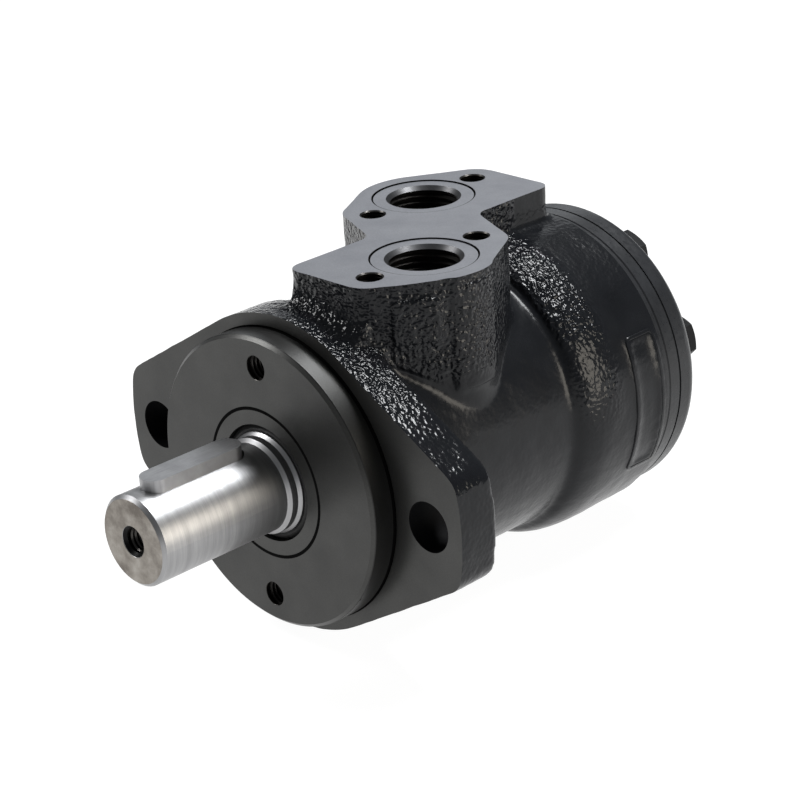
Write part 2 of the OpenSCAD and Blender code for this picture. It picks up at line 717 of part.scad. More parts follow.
// End cover, its seal, bolts and washers
module end_cover() {
    color(casting_black) difference() {
        turned() {
            translate([0, ring_end_y + edge_break]) square([stack_r, cover_t - edge_break - cover_edge_r]);
            translate([0, ring_end_y]) square([stack_r - edge_break, edge_break * 2]);
            translate([0, ring_end_y]) square([stack_r - cover_edge_r, cover_t]);
            translate([stack_r - cover_edge_r, cover_end_y - cover_edge_r]) circle(r = cover_edge_r);
        }
        bar(pocket_r, ring_end_y - over, ring_end_y + pocket_depth);
        ring(groove_in_r, groove_in_r + groove_w, ring_end_y - over, ring_end_y + groove_depth);
        bolt_holes(ring_end_y, cover_end_y);
    }
}
module face_seal(y0) {
    color(seal_black) ring(groove_in_r + 0.1, groove_in_r + groove_w - 0.1, y0, y0 + groove_depth - 0.1, 0.2);
}
module housing_seal() {
    face_seal(housing_l - groove_depth + 0.05);
}
module cover_seal() {
    face_seal(ring_end_y + 0.05);
}
module bolt_washers() {
    color(dull_steel) for (k = [0 : roller_count - 1]) rotate([0, -bolt_a(k), 0])
        translate([bolt_circle_r, 0, 0])
            ring(bolt_hole_r, bolt_head_w / 2 + 0.4, cover_end_y, washer_end_y - end_gap, 0.15);
}
module cover_bolt() {
    corner_r = bolt_head_w / sqrt(3);
    shank_y = housing_l - bolt_reach;
    bar(bolt_r, shank_y, washer_end_y + 1);
    intersection() {
        translate([0, washer_end_y, 0]) rotate([-90, 30, 0]) cylinder(r = corner_r, h = bolt_head_h, $fn = 6);
        turned() polygon([[0, washer_end_y], [corner_r + over, washer_end_y],
            [corner_r + over, washer_end_y + bolt_head_h - 1.1],
            [bolt_head_w / 2 - 0.4, washer_end_y + bolt_head_h], [0, washer_end_y + bolt_head_h]]);
    }
}
module cover_bolts() {
    color(casting_black) for (k = [0 : roller_count - 1]) rotate([0, -bolt_a(k), 0])
        translate([bolt_circle_r, 0, 0]) cover_bolt();
}

// Drain plug with a hexagon socket, and its sealing washer, on the underside
module drain_washer() {
    color(copper) translate([0, drain_y, -drain_face_z - drain_washer_t]) difference() {
        cylinder(r = drain_collar_r + 0.5, h = drain_washer_t - end_gap);
        translate([0, 0, -over]) cylinder(r = drain_thread_r + 0.15, h = drain_washer_t + 2 * over);
    }
}
module drain_plug() {
    seat_z = -drain_face_z - drain_washer_t - end_gap;
    color(dull_steel) translate([0, drain_y, seat_z]) difference() {
        union() {
            cylinder(r = drain_thread_r, h = drain_thread_l);
            translate([0, 0, -drain_collar_t]) cylinder(r = drain_collar_r, h = drain_collar_t);
        }
        translate([0, 0, -drain_collar_t - over])
            cylinder(d = drain_socket_w * 2 / sqrt(3), h = 4 + over, $fn = 6);
    }
}

housing();
seal_carrier();
carrier_o_ring();
dust_seal();
shaft_seal();
backup_ring();
thrust_race_front();
thrust_cage();
thrust_needles();
thrust_race_rear();
output_shaft();
shaft_key();
drive_link();
port_plate();
housing_seal();
gear_ring();
roller(1);  // roller_1
roller(2);  // roller_2
roller(3);  // roller_3
roller(4);  // roller_4
roller(5);  // roller_5
roller(6);  // roller_6
roller(7);  // roller_7
rotor();
drive_spacer();
cover_seal();
end_cover();
bolt_washers();
cover_bolts();
drain_washer();
drain_plug();
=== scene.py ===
import json
import math

import bmesh
import bpy
from mathutils import Matrix, Vector, noise as field


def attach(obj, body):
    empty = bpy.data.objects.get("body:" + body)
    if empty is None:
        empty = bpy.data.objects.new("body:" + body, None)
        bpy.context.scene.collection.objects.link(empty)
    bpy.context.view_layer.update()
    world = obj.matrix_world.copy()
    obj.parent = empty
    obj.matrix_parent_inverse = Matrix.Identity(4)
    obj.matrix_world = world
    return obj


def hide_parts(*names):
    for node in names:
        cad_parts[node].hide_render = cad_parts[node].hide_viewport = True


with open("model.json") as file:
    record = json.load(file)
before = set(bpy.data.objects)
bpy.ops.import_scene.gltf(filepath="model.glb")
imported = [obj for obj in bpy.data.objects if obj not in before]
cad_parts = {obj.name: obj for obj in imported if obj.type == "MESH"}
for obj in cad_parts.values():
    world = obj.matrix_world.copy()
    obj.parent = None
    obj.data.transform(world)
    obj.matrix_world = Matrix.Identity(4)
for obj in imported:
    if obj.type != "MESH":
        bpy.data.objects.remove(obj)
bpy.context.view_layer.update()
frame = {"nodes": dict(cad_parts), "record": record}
nodes = frame["nodes"]
MM = 0.001

# Sizes of the motor, in millimetres, as the construction has them
FRONT_Y = -8.0
HOUSING_L = 107.7
FLANGE_T = 13.0
HOLE_X = 53.2
FLANGE_HOLE_R = 7.0
PILOT_R = 41.275
TAP_Z = 33.0
STACK_R = 43.3
TAIL_R = 44.8
BULGE_R = 45.0
PORT_Z = 54.5
PORTS = ((18.0, 38.0), (-18.0, 74.0))
PORT_R = 9.5
THREAD_R = 10.45
PORT_DEPTH = 15.0
SPOT_R = 14.6
SPOT_DEPTH = 0.3
PASSAGE_R = 5.0
LOBE_R = 19.0
NOSE_R = 8.5
FIX_PITCH = 40.0
FIX_R = 3.4
SCREW_R = 4.0
SCREW_PITCH = 1.25
PIPE_PITCH = 1.814
FIX_DEPTH = 13.0
TAP_DEPTH = 14.0
BOLT_COUNT = 7
BOLT_CIRCLE_R = 32.0
BOLT_DEPTH = 19.0
DRAIN_Y = 30.0
DRAIN_Z = -42.0
DRAIN_R = 6.53
DRAIN_HOLE_R = 3.0
CARRIER_R = 21.03
CARRIER_Y = 1.0
LAND = 3.2
SHAFT_END_Y = -53.2
END_TAP_DEPTH = 20.0
FLOOR_Z = -46.6

# Radii of the plugs that fill the bores before the casting is softened, in millimetres
BORE_PLUG_R = 27.6
TAP_PLUG_R = 4.6
FLANGE_PLUG_R = 8.5
PORT_PLUG_R = 15.5
BOLT_PLUG_R = 5.2
DRAIN_PLUG_R = 8.0

# How the casting is softened and cut, in millimetres
VOXEL = 0.85
RELAX_ROUNDS = 6
UNEVEN_DEPTH = 0.10
UNEVEN_GRAIN = 6.0
STOCK = 5.0
CUT_REACH = 95.0
HAIRLINE = 0.001
SAME_POINT = 1e-4
PAD_H = 1.1
WALL_PAD_DROP = 10.6
WALL_PAD_BACK = 9.8
WALL_PANEL_DROP = 17.0
RIDGE_H = 0.6


# Mesh helpers

def new_object(name, bm):
    """Turns a bmesh in millimetres into an object in metres."""
    bmesh.ops.scale(bm, vec=(MM, MM, MM), verts=bm.verts)
    mesh = bpy.data.meshes.new(name)
    bm.to_mesh(mesh)
    bm.free()
    piece = bpy.data.objects.new(name, mesh)
    bpy.context.scene.collection.objects.link(piece)
    return piece


def cylinder(bm, radius, start, end, segments=64, radius_end=None):
    """Adds a closed cylinder or cone between two points."""
    start, end = Vector(start), Vector(end)
    along = end - start
    turn = along.to_track_quat("Z", "Y").to_matrix().to_4x4()
    place = Matrix.Translation((start + end) / 2) @ turn
    bmesh.ops.create_cone(bm, cap_ends=True, segments=segments, radius1=radius,
                          radius2=radius if radius_end is None else radius_end,
                          depth=along.length, matrix=place)


def block(bm, low, high):
    """Adds a closed box between two corners."""
    low, high = Vector(low), Vector(high)
    size = high - low
    scale = Matrix.Diagonal((size.x, size.y, size.z, 1))
    bmesh.ops.create_cube(bm, size=1, matrix=Matrix.Translation((low + high) / 2) @ scale)


def turned(bm, profile, steps=128):
    """Spins a closed profile of (radius, y) points about the shaft axis into a solid."""
    verts = [bm.verts.new((r, y, 0)) for r, y in profile]
    edges = [bm.edges.new((a, b)) for a, b in zip(verts, verts[1:] + verts[:1])]
    bmesh.ops.spin(bm, geom=verts + edges, cent=(0, 0, 0), axis=(0, 1, 0),
                   angle=math.tau, steps=steps, use_merge=True)


def ring_about(bm, x, y, r0, r1, z0, z1, steps=128):
    """Adds a closed square-edged ring about an upright axis."""
    verts = [bm.verts.new((x + r, y, z)) for r, z in ((r0, z0), (r1, z0), (r1, z1), (r0, z1))]
    edges = [bm.edges.new((a, b)) for a, b in zip(verts, verts[1:] + verts[:1])]
    bmesh.ops.spin(bm, geom=verts + edges, cent=(x, y, 0), axis=(0, 0, 1),
                   angle=math.tau, steps=steps, use_merge=True)


def apply_modifiers(piece):
    """Replaces a piece's mesh by what its modifiers make of it."""
    graph = bpy.context.evaluated_depsgraph_get()
    mesh = bpy.data.meshes.new_from_object(piece.evaluated_get(graph))
    old = piece.data
    piece.modifiers.clear()
    piece.data = mesh
    bpy.data.meshes.remove(old)


def boolean(piece, tool, operation, crossing=False):
    """Cuts, joins or intersects a piece with a tool, then removes the tool. Crossing is for
    pieces made of closed shapes that run into each other."""
    cut = piece.modifiers.new("cut", "BOOLEAN")
    cut.operation = operation
    cut.solver = "EXACT"
    cut.use_self = crossing
    cut.object = tool
    apply_modifiers(piece)
    mesh = tool.data
    bpy.data.objects.remove(tool)
    bpy.data.meshes.remove(mesh)


def copy_of(node):
    """A merged copy of a node's mesh, as a bmesh in millimetres."""
    bm = bmesh.new()
    bm.from_mesh(nodes[node].data)
    bmesh.ops.scale(bm, vec=(1 / MM, 1 / MM, 1 / MM), verts=bm.verts)
    bmesh.ops.remove_doubles(bm, verts=bm.verts, dist=SAME_POINT)
    return bm


def smooth_shading(piece, angle=32):
    """Shades a piece smooth, with sharp edges where it turns by more than an angle."""
    piece.data.shade_smooth()
    piece.data.set_sharp_from_angle(angle=math.radians(angle))


def remesh(piece, voxel):
    """Rebuilds a piece as one even skin, voxel in millimetres."""
    skin = piece.modifiers.new("skin", "REMESH")
    skin.mode = "VOXEL"
    skin.voxel_size = voxel * MM
    skin.adaptivity = 0
    apply_modifiers(piece)


def unevenness(piece, depth, grain):
    """Moves a skin in and out by a soft noise, both values in millimetres."""
    bm = bmesh.new()
    bm.from_mesh(piece.data)
    bm.normal_update()
    for vert in bm.verts:
        place = vert.co / (MM * grain)
        vert.co += vert.normal * depth * MM * (field.noise(place) + 0.5 * field.noise(place * 2.3))
    bm.to_mesh(piece.data)
    bm.free()


def relax(piece, rounds):
    """Softens a skin, as the draft and radii of a sand mould do."""
    bm = bmesh.new()
    bm.from_mesh(piece.data)
    for _ in range(rounds):
        bmesh.ops.smooth_vert(bm, verts=bm.verts, factor=0.5,
                              use_axis_x=True, use_axis_y=True, use_axis_z=True)
    bm.to_mesh(piece.data)
    bm.free()


def heal(piece):
    """Closes the hairline faces that a cut can leave."""
    bm = bmesh.new()
    bm.from_mesh(piece.data)
    bmesh.ops.remove_doubles(bm, verts=bm.verts, dist=HAIRLINE * MM)
    bmesh.ops.dissolve_degenerate(bm, edges=bm.edges, dist=HAIRLINE * MM)
    bm.to_mesh(piece.data)
    bm.free()
    piece.data.validate()


# Materials

def material(name, **values):
    """A new material with constant values set on its shader."""
    mat = bpy.data.materials.new(name)
    mat.use_nodes = True
    shader = mat.node_tree.nodes["Principled BSDF"]
    for key, value in values.items():
        socket = shader.inputs[key.replace("_", " ")]
        socket.default_value = (*value, 1) if key.endswith("Color") else value
    return mat, mat.node_tree, shader


def coords(tree, scale=1.0, stretch=(1, 1, 1)):
    """Object coordinates in millimetres, divided by a grain size."""
    place = tree.nodes.new("ShaderNodeTexCoord")
    mapping = tree.nodes.new("ShaderNodeMapping")
    mapping.inputs["Scale"].default_value = [s / (MM * scale) for s in stretch]
    tree.links.new(place.outputs["Object"], mapping.inputs["Vector"])
    return mapping.outputs["Vector"]


def noise(tree, vector, detail=3.0, rough=0.5):
    """A soft random value from 0 to 1."""
    tex = tree.nodes.new("ShaderNodeTexNoise")
    tex.inputs["Scale"].default_value = 1.0
    tex.inputs["Detail"].default_value = detail
    tex.inputs["Roughness"].default_value = rough
    tree.links.new(vector, tex.inputs["Vector"])
    return tex.outputs["Fac"]


def ramp(tree, value, stops):
    """A colour ramp over (place, colour or grey) stops."""
    node = tree.nodes.new("ShaderNodeValToRGB")
    band = node.color_ramp
    while len(band.elements) < len(stops):
        band.elements.new(0.5)
    for element, (place, tone) in zip(band.elements, stops):
        element.position = place
        element.color = (*tone, 1) if isinstance(tone, tuple) else (tone, tone, tone, 1)
    tree.links.new(value, node.inputs["Fac"])
    return node.outputs["Color"]


def bump(tree, shader, height, depth, under=None):
    """Adds relief of a depth in millimetres, over an earlier relief if there is one."""
    node = tree.nodes.new("ShaderNodeBump")
    node.inputs["Strength"].default_value = 1.0
    node.inputs["Distance"].default_value = depth * MM
    tree.links.new(height, node.inputs["Height"])
    if under:
        tree.links.new(under, node.inputs["Normal"])
    tree.links.new(node.outputs["Normal"], shader.inputs["Normal"])
    return node.outputs["Normal"]


def blend_values(tree, a, b, factor, mode="MIX"):
    """Mixes two colours or greys, each a socket or a number."""
    node = tree.nodes.new("ShaderNodeMix")
    node.data_type = "RGBA"
    node.blend_type = mode
    for key, value in (("A", a), ("B", b), ("Factor", factor)):
        socket = next(s for s in node.inputs if s.name == key and s.enabled)
        if isinstance(value, bpy.types.NodeSocket):
            tree.links.new(value, socket)
        else:
            socket.default_value = value if key == "Factor" else (value, value, value, 1)
    return next(s for s in node.outputs if s.enabled)


def span(tree, value, low, high, first=0.0, last=1.0):
    """Maps a value in millimetres from a range to another, with a soft start and end."""
    node = tree.nodes.new("ShaderNodeMapRange")
    node.interpolation_type = "SMOOTHSTEP"
    for key, number in (("From Min", low), ("From Max", high), ("To Min", first), ("To Max", last)):
        node.inputs[key].default_value = number
    tree.links.new(value, node.inputs["Value"])
    return node.outputs["Result"]


def place_of(tree):
    """The X, Y and Z of a point of the object, in millimetres."""
    split = tree.nodes.new("ShaderNodeSeparateXYZ")
    tree.links.new(coords(tree), split.inputs["Vector"])
    return [split.outputs[axis] for axis in "XYZ"]


def calc(tree, operation, a, b=0.0):
    """The result of a sum on one or two values, each a socket or a number."""
    node = tree.nodes.new("ShaderNodeMath")
    node.operation = operation
    for socket, value in zip(node.inputs, (a, b)):
        if isinstance(value, bpy.types.NodeSocket):
            tree.links.new(value, socket)
        else:
            socket.default_value = value
    return node.outputs["Value"]


def product(tree, first, *others):
    """All the values multiplied."""
    for value in others:
        first = calc(tree, "MULTIPLY", first, value)
    return first


def off_axis(tree, x, z):
    """The distance from the shaft's axis, in millimetres."""
    return calc(tree, "SQRT", calc(tree, "ADD", product(tree, x, x), product(tree, z, z)))


def cast_paint():
    """Gloss black paint over a sand-cast skin: coarse on the flange rim, the port block and
    the shoulder of the bulge, smooth on the waist and the tail."""
    mat, tree, shader = material("cast_paint", Metallic=0.0, IOR=1.31)
    x, y, z = place_of(tree)
    grain = noise(tree, coords(tree, 1.15), detail=0.6, rough=0.4)
    lumps = noise(tree, coords(tree, 2.3), detail=1.5, rough=0.5)
    tone = ramp(tree, noise(tree, coords(tree, 9.0), detail=3.0),
                [(0.3, (0.0050, 0.0056, 0.0070)), (0.7, (0.0078, 0.0086, 0.0104))])
    tree.links.new(tone, shader.inputs["Base Color"])
    on_rim = span(tree, y, 14, 18, 1.0, 0.0)
    rim = product(tree, on_rim, span(tree, z, 20, 41, 0.2, 0.8))
    walls = product(tree, span(tree, z, 22, 32), span(tree, y, 54, 60, 1.0, 0.2),
                    span(tree, off_axis(tree, x, z), 41.2, 42.6))
    shoulder = product(tree, span(tree, y, 70, 72), span(tree, y, 83, 89, 1.0, 0.0),
                       span(tree, z, -10, 6), span(tree, z, 18, 32, 0.4, 1.0))
    coarse = calc(tree, "MAXIMUM", calc(tree, "MAXIMUM", rim, walls), shoulder)
    gloss = calc(tree, "MAXIMUM", coarse, product(tree, on_rim, span(tree, z, 0, 12)))
    tree.links.new(span(tree, gloss, 0, 1, 0.25, 0.11), shader.inputs["Roughness"])
    lumpy = product(tree, lumps, span(tree, coarse, 0, 1, 0.10))
    grainy = product(tree, grain, span(tree, coarse, 0, 1, 0.06))
    bump(tree, shader, grainy, 0.52, under=bump(tree, shader, lumpy, 0.50))
    return mat


def smooth_paint(name, tone=0.014, rough=0.3, ior=1.36):
    """Black paint over a machined surface, with faint orange peel."""
    mat, tree, shader = material(name, Metallic=0.0, IOR=ior)
    peel = noise(tree, coords(tree, 1.6), detail=2.0)
    cloud = noise(tree, coords(tree, 12.0), detail=3.0)
    colour = ramp(tree, cloud, [(0.3, (tone, tone * 1.06, tone * 1.2)),
                                (0.7, (tone * 1.5, tone * 1.6, tone * 1.8))])
    tree.links.new(colour, shader.inputs["Base Color"])
    tree.links.new(ramp(tree, peel, [(0.3, rough + 0.08), (0.7, rough)]),
                   shader.inputs["Roughness"])
    bump(tree, shader, peel, 0.06)
    return mat


def turned_steel(name, dark, light, rough, pitch=0.35, depth=0.01, metallic=1.0, axis="Y"):
    """Machined steel with a cloudy tone and fine tool marks that lie across one axis."""
    mat, tree, shader = material(name, Metallic=metallic)
    stretch = [1 if name == axis else 0.04 for name in "XYZ"]
    marks = noise(tree, coords(tree, pitch, stretch), detail=2.0, rough=0.6)
    cloud = noise(tree, coords(tree, 7.0), detail=5.0, rough=0.6)
    tone = blend_values(tree, ramp(tree, cloud, [(0.3, dark), (0.7, light)]),
                        ramp(tree, marks, [(0.3, 0.8), (0.7, 1.0)]), 1.0, "MULTIPLY")
    tree.links.new(tone, shader.inputs["Base Color"])
    tree.links.new(ramp(tree, cloud, [(0.25, rough + 0.08), (0.75, rough)]),
                   shader.inputs["Roughness"])
    if depth:
        bump(tree, shader, marks, depth)
    return mat


def machined_face(name, dark, light, rough, metallic):
    """Flat machined metal with specks and a cloudy tone, and painted shade that darkens the pilot's turned
    side.
    """
    mat, tree, shader = material(name, Metallic=metallic)
    x, y, z = place_of(tree)
    cloud = noise(tree, coords(tree, 11.0), detail=4.0, rough=0.55)
    speck = noise(tree, coords(tree, 0.5), detail=2.0)
    tone = blend_values(tree, ramp(tree, cloud, [(0.3, dark), (0.7, light)]),
                        ramp(tree, speck, [(0.35, 0.88), (0.65, 1.0)]), 1.0, "MULTIPLY")
    # Painted shade: the pilot's turned side is darkened towards near-black.
    side = product(tree, span(tree, off_axis(tree, x, z), PILOT_R - 0.3, PILOT_R - 0.1),
                   span(tree, y, -0.4, -0.2, 0.6, 0.0))
    tone = blend_values(tree, tone, 0.008, side)
    tree.links.new(tone, shader.inputs["Base Color"])
    tree.links.new(ramp(tree, cloud, [(0.25, rough + 0.06), (0.75, rough)]),
                   shader.inputs["Roughness"])
    bump(tree, shader, speck, 0.012)
    return mat


def shaft_finish():
    """Ground steel with hairline marks, a stained brown end face, and painted shade inside the hole in its
    end.
    """
    mat, tree, shader = material("shaft_steel", Metallic=1.0)
    x, y, z = place_of(tree)
    lines = noise(tree, coords(tree, 0.10, (0.02, 1, 0.02)), detail=2.0, rough=0.5)
    bands = noise(tree, coords(tree, 2.2, (0.03, 1, 0.03)), detail=3.0, rough=0.6)
    cloud = noise(tree, coords(tree, 5.0), detail=5.0, rough=0.62)
    bright = ramp(tree, bands, [(0.3, (0.31, 0.31, 0.315)), (0.7, (0.40, 0.40, 0.405))])
    steel = blend_values(tree, bright, ramp(tree, lines, [(0.3, 0.84), (0.7, 1.0)]), 1.0, "MULTIPLY")
    stain = ramp(tree, cloud, [(0.32, (0.13, 0.115, 0.10)), (0.52, (0.24, 0.22, 0.195)),
                               (0.75, (0.36, 0.34, 0.31))])
    end_face = span(tree, y, SHAFT_END_Y + 0.03, SHAFT_END_Y + 0.08, 1.0, 0.0)
    # Painted shade: the walls of the hole in the shaft's end are darkened to near-black.
    end_hole_shade = product(tree, span(tree, off_axis(tree, x, z), 4.6, 4.8, 1.0, 0.0),
                      span(tree, y, SHAFT_END_Y + 0.1, SHAFT_END_Y + 0.15))
    face = blend_values(tree, steel, stain, end_face)
    tree.links.new(blend_values(tree, face, 0.012, end_hole_shade), shader.inputs["Base Color"])
    rough = blend_values(tree, ramp(tree, bands, [(0.3, 0.42), (0.7, 0.37)]), 0.36, end_face)
    tree.links.new(rough, shader.inputs["Roughness"])
    bump(tree, shader, lines, 0.006)
    return mat


def rubber(name):
    """Dull black rubber."""
    mat, tree, shader = material(name, Metallic=0.0, IOR=1.45)
    speck = noise(tree, coords(tree, 0.6), detail=3.0)
    tree.links.new(ramp(tree, speck, [(0.3, 0.004), (0.7, 0.009)]), shader.inputs["Base Color"])
    tree.links.new(ramp(tree, speck, [(0.3, 0.62), (0.7, 0.48)]), shader.inputs["Roughness"])
    bump(tree, shader, speck, 0.02)
    return mat


paint = cast_paint()
band_paint = smooth_paint("band_paint", 0.014, 0.26)
bolt_black = smooth_paint("bolt_black", 0.005, 0.44, 1.22)
phosphate = machined_face("phosphated_face", (0.048, 0.048, 0.0465), (0.061, 0.061, 0.0585), 0.32, 0.7)
carrier_steel = machined_face("carrier_steel", (0.052, 0.052, 0.050), (0.066, 0.066, 0.063), 0.34, 0.7)
port_metal = machined_face("port_face_metal", (0.21, 0.215, 0.235), (0.26, 0.265, 0.285), 0.42, 0.85)
bore_metal = turned_steel("bore_metal", (0.030, 0.028, 0.026), (0.075, 0.071, 0.067), 0.26, metallic=0.9)
mouth_metal = turned_steel("mouth_metal", (0.075, 0.075, 0.078), (0.12, 0.12, 0.124), 0.34, depth=0.004)
# Near-black and barely reflecting: painted shade for the grooves and gaps of the casting and the seal
# carrier's joint.
painted_gap_shade = material("painted_gap_shade", Base_Color=(0.003, 0.003, 0.003), Roughness=0.8, IOR=1.1)[0]
# Near-black and barely reflecting: painted shade on the walls of the flange holes.
flange_hole_shade = material("flange_hole_shade", Base_Color=(0.004, 0.004, 0.0045), Roughness=0.6, IOR=1.12)[0]
shaft_steel = shaft_finish()
inner_steel = turned_steel("inner_steel", (0.42, 0.42, 0.41), (0.58, 0.58, 0.57), 0.28)
key_steel = turned_steel("key_steel", (0.32, 0.32, 0.33), (0.46, 0.46, 0.47), 0.38, pitch=0.3, axis="X")
dull_steel = turned_steel("dull_steel", (0.20, 0.20, 0.19), (0.34, 0.34, 0.33), 0.4)
copper = turned_steel("copper", (0.48, 0.22, 0.12), (0.66, 0.34, 0.20), 0.34)
nitrile = rubber("nitrile")

finish_of = {
    "cast_paint": paint, "stack_paint": band_paint, "phosphated_steel": carrier_steel,
    "ground_steel": inner_steel, "key_steel": key_steel, "dull_steel": dull_steel,
    "nitrile": nitrile, "black_bolt": bolt_black, "washer_steel": dull_steel,
    "copper_washer": copper, "plug_steel": bolt_black,
}
for part in frame["record"]["subparts"]:
    mesh = nodes[part["node"]].data
    mesh.materials.clear()
    mesh.materials.append(finish_of[part["material_slot"]])
nodes["output_shaft"].data.materials[0] = shaft_steel


# The casting: the construction's own shape with its bores filled, softened like a sand
# casting, then machined again where the real one is

def bolt_places():
    """The x and z of each cover bolt."""
    angles = [math.tau / 4 + (k + 0.5) * math.tau / BOLT_COUNT for k in range(BOLT_COUNT)]
    return [(BOLT_CIRCLE_R * math.cos(angle), BOLT_CIRCLE_R * math.sin(angle)) for angle in angles]


def plugs(bm):
    """Closed cylinders that fill every bore of the housing."""
    cylinder(bm, BORE_PLUG_R, (0, FRONT_Y, 0), (0, HOUSING_L, 0), 96)
    for s in (-1, 1):
        cylinder(bm, TAP_PLUG_R, (0, FRONT_Y, s * TAP_Z), (0, FRONT_Y + TAP_DEPTH + 4, s * TAP_Z), 48)
        cylinder(bm, FLANGE_PLUG_R, (s * HOLE_X, 0, 0), (s * HOLE_X, FLANGE_T, 0), 64)
    for x, y in PORTS:
        cylinder(bm, PORT_PLUG_R, (x, y, 8), (x, y, PORT_Z), 96)
        for s in (-1, 1):
            fix = y + s * FIX_PITCH / 2
            cylinder(bm, TAP_PLUG_R, (x, fix, PORT_Z - FIX_DEPTH - 4), (x, fix, PORT_Z), 48)
    for x, z in bolt_places():
        cylinder(bm, BOLT_PLUG_R, (x, HOUSING_L - BOLT_DEPTH, z), (x, HOUSING_L, z), 48)
    cylinder(bm, DRAIN_PLUG_R, (0, DRAIN_Y, DRAIN_Z), (0, DRAIN_Y, -12), 48)


def slab_of(low, high, shift):
    """A slice of the housing between two corners, moved by a shift."""
    piece = new_object("slice", copy_of("housing"))
    bm = bmesh.new()
    block(bm, low, high)
    boolean(piece, new_object("window", bm), "INTERSECT")
    piece.data.transform(Matrix.Translation(Vector(shift) * MM))
    return piece


def rough_casting():
    """The housing with filled bores and with stock on its machined faces."""
    bm = copy_of("housing")
    plugs(bm)
    cylinder(bm, TAIL_R - 0.1, (0, HOUSING_L - 10, 0), (0, HOUSING_L + STOCK, 0), 128)
    rough = new_object("casting", bm)
    slices = (slab_of((-80, -20, -80), (80, 6, 80), (0, -STOCK, 0)),
              slab_of((-80, -20, 49), (80, 130, 80), (0, 0, STOCK)))
    bm = bmesh.new()
    bm.from_mesh(rough.data)
    for piece in slices:
        bm.from_mesh(piece.data)
        bpy.data.objects.remove(piece)
    for x, y in PORTS:
        cylinder(bm, PORT_PLUG_R * MM, Vector((x, y, 30)) * MM, Vector((x, y, PORT_Z + STOCK)) * MM)
    bm.to_mesh(rough.data)
    bm.free()
    return rough


def inner_hollows():
    """The valve bore, galleries, channels and rear bolt holes, as the construction has them."""
    bm = bmesh.new()
    cylinder(bm, BORE_PLUG_R, (0, CARRIER_Y - 0.02, 0), (0, HOUSING_L + 1, 0), 96)
    for x, z in bolt_places():
        cylinder(bm, BOLT_PLUG_R, (x, HOUSING_L - BOLT_DEPTH, z), (x, HOUSING_L + 1, z), 48)
    tool = new_object("hollows", bm)
    boolean(tool, new_object("body", copy_of("housing")), "DIFFERENCE", crossing=True)
    return tool


def tapped(bm, base, inward, depth, radius, crest, mouth):
    """A tapped hole's cut: a plain lip, the bore to the threads' outer radius, and its tip."""
    base, inward = Vector(base), Vector(inward)
    lip = mouth - crest + 0.3
    cylinder(bm, crest, base - inward, base + inward * (lip + 0.2), 64)
    cylinder(bm, mouth + 1, base - inward, base + inward * (mouth - crest), 64, crest)
    cylinder(bm, radius, base + inward * lip, base + inward * depth, 64)
    cylinder(bm, radius, base + inward * (depth - 0.02), base + inward * (depth + 1.9), 64, 0.3)


def machining_tool():
    """Everything that machining takes off the casting."""
    bm = bmesh.new()
    far = CUT_REACH
    turned(bm, [(0, FRONT_Y), (PILOT_R - 1, FRONT_Y), (PILOT_R, FRONT_Y + 1), (PILOT_R, -0.9),
                (PILOT_R - 0.3, -0.7), (PILOT_R - 0.3, 0.35), (PILOT_R + 0.3, 0.35),
                (PILOT_R + 0.3, 0), (far, 0), (far, -20), (0, -20)], 192)
    turned(bm, [(0, HOUSING_L), (STACK_R - 0.35, HOUSING_L), (STACK_R, HOUSING_L - 0.35),
                (STACK_R, HOUSING_L - LAND + 0.75), (TAIL_R, HOUSING_L - LAND),
                (far, HOUSING_L - LAND), (far, 130), (0, 130)], 192)
    block(bm, (-70, -20, PORT_Z), (70, 128, 90))
    turned(bm, [(0, -12), (CARRIER_R + 2.32, -10), (CARRIER_R, FRONT_Y + 0.35),
                (CARRIER_R, CARRIER_Y), (0, CARRIER_Y)], 128)
    for s in (-1, 1):
        cylinder(bm, FLANGE_HOLE_R, (s * HOLE_X, -5, 0), (s * HOLE_X, FLANGE_T + 8, 0), 96)
        tapped(bm, (0, FRONT_Y, s * TAP_Z), (0, 1, 0), TAP_DEPTH, SCREW_R, FIX_R, FIX_R + 0.1)
    for x, y in PORTS:
        top = PORT_Z - SPOT_DEPTH
        cylinder(bm, SPOT_R, (x, y, top), (x, y, PORT_Z + 5), 128)
        ring_about(bm, x, y, SPOT_R - 0.3, SPOT_R, top - 0.4, top + 0.1)
        # A shallow ring round each spot face, whose faces get painted shade.
        ring_about(bm, x, y, SPOT_R - 0.05, SPOT_R + 0.22, PORT_Z - 0.04, PORT_Z + 0.2)
        cylinder(bm, PORT_R, (x, y, top - 1.2), (x, y, top + 1), 128, PORT_R + 2.2)
        cylinder(bm, THREAD_R, (x, y, PORT_Z - PORT_DEPTH), (x, y, top - 1.15), 128)
        cylinder(bm, PASSAGE_R, (x, y, 10), (x, y, PORT_Z - PORT_DEPTH + 1), 64)
        for s in (-1, 1):
            tapped(bm, (x, y + s * FIX_PITCH / 2, PORT_Z), (0, 0, -1), FIX_DEPTH, SCREW_R, FIX_R,
                   FIX_R + 0.35)
    cylinder(bm, 30, (0, DRAIN_Y, DRAIN_Z - 20), (0, DRAIN_Y, DRAIN_Z), 48)
    cylinder(bm, DRAIN_R, (0, DRAIN_Y, DRAIN_Z - 10), (0, DRAIN_Y, DRAIN_Z + 12), 64)
    cylinder(bm, DRAIN_HOLE_R, (0, DRAIN_Y, DRAIN_Z - 10), (0, DRAIN_Y, -15), 48)
    bmesh.ops.remove_doubles(bm, verts=bm.verts, dist=SAME_POINT)
    bmesh.ops.recalc_face_normals(bm, faces=bm.faces)
    tool = new_object("tool", bm)
    boolean(tool, inner_hollows(), "UNION", crossing=True)
    return tool


casting_finishes = {
    "cast": paint, "machined": phosphate, "port face": port_metal, "bore": bore_metal,
    "tail": band_paint, "port mouth": mouth_metal, "groove shade": painted_gap_shade, "flange hole shade": flange_hole_shade,
}
finish_order = list(casting_finishes)


